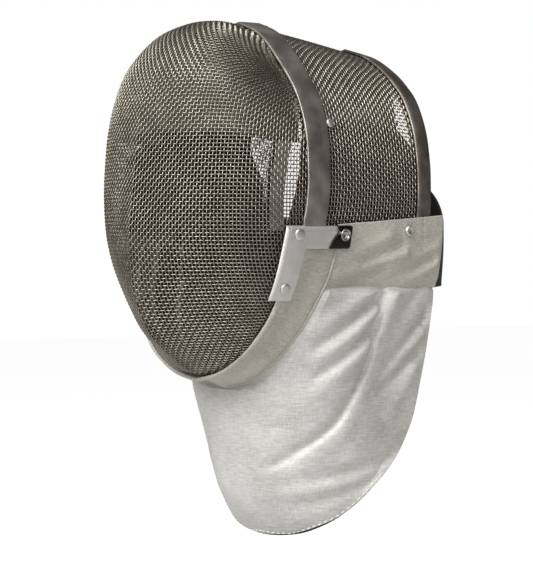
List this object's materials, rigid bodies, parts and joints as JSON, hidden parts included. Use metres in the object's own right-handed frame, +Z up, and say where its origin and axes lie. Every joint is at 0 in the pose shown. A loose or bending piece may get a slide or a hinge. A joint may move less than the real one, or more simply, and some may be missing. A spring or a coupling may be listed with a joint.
{
  "type": "fencing mask",
  "caption": "Fencing mask with a keeled wire mesh cage, steel bands, L-shaped ear brackets, a padded binding, a quilted cloth bib and an elastic strap behind the head.",
  "frame": {"origin": "the crown seat: the middle of the crown pad's underside, where the top of the head sits, on the plane of the front band", "axes": "+Z up, -Y towards the front of the face, +X towards the wearer's left"},
  "size_m": [0.2258, 0.279, 0.4286],
  "materials": {
    "mesh_wire": "woven 1 mm steel wire, lightly tarnished",
    "band_steel": "cold rolled strip, dull with cloudy reflections",
    "bracket_steel": "pressed sheet, satin",
    "rivet_steel": "domed heads, satin",
    "screw_steel": "turned and plated",
    "clip_plastic": "moulded, glossy black",
    "binding_cloth": "conductive woven cloth, padded",
    "bib_cloth": "conductive woven cloth, quilted",
    "lining_cloth": "black woven lining",
    "pad_foam": "grey brushed nylon over foam",
    "pad_cloth": "black brushed nylon over foam",
    "strap_elastic": "black woven elastic"
  },
  "bodies": {
    "root": {"back_strap": "strap_elastic", "bib": "bib_cloth", "bib_lining": "lining_cloth", "bracket_clip_left": "clip_plastic", "bracket_clip_right": "clip_plastic", "bracket_rivet_lower_left": "rivet_steel", "bracket_rivet_lower_right": "rivet_steel", "bracket_rivet_upper_left": "rivet_steel", "bracket_rivet_upper_right": "rivet_steel", "cage_rivet_crown": "rivet_steel", "cage_rivet_left": "rivet_steel", "cage_rivet_right": "rivet_steel", "clip_screw_left": "screw_steel", "clip_screw_right": "screw_steel", "crown_pad": "pad_foam", "ear_bracket_left": "bracket_steel", "ear_bracket_right": "bracket_steel", "forehead_pad": "pad_foam", "front_band": "band_steel", "front_mesh": "mesh_wire", "panel_snap_left": "rivet_steel", "panel_snap_right": "rivet_steel", "rear_band": "band_steel", "rear_mesh": "mesh_wire", "rim_binding": "binding_cloth", "side_pad_left": "pad_cloth", "side_pad_right": "pad_cloth", "side_panel_left": "binding_cloth", "side_panel_right": "binding_cloth"}
  },
  "joints": []
}
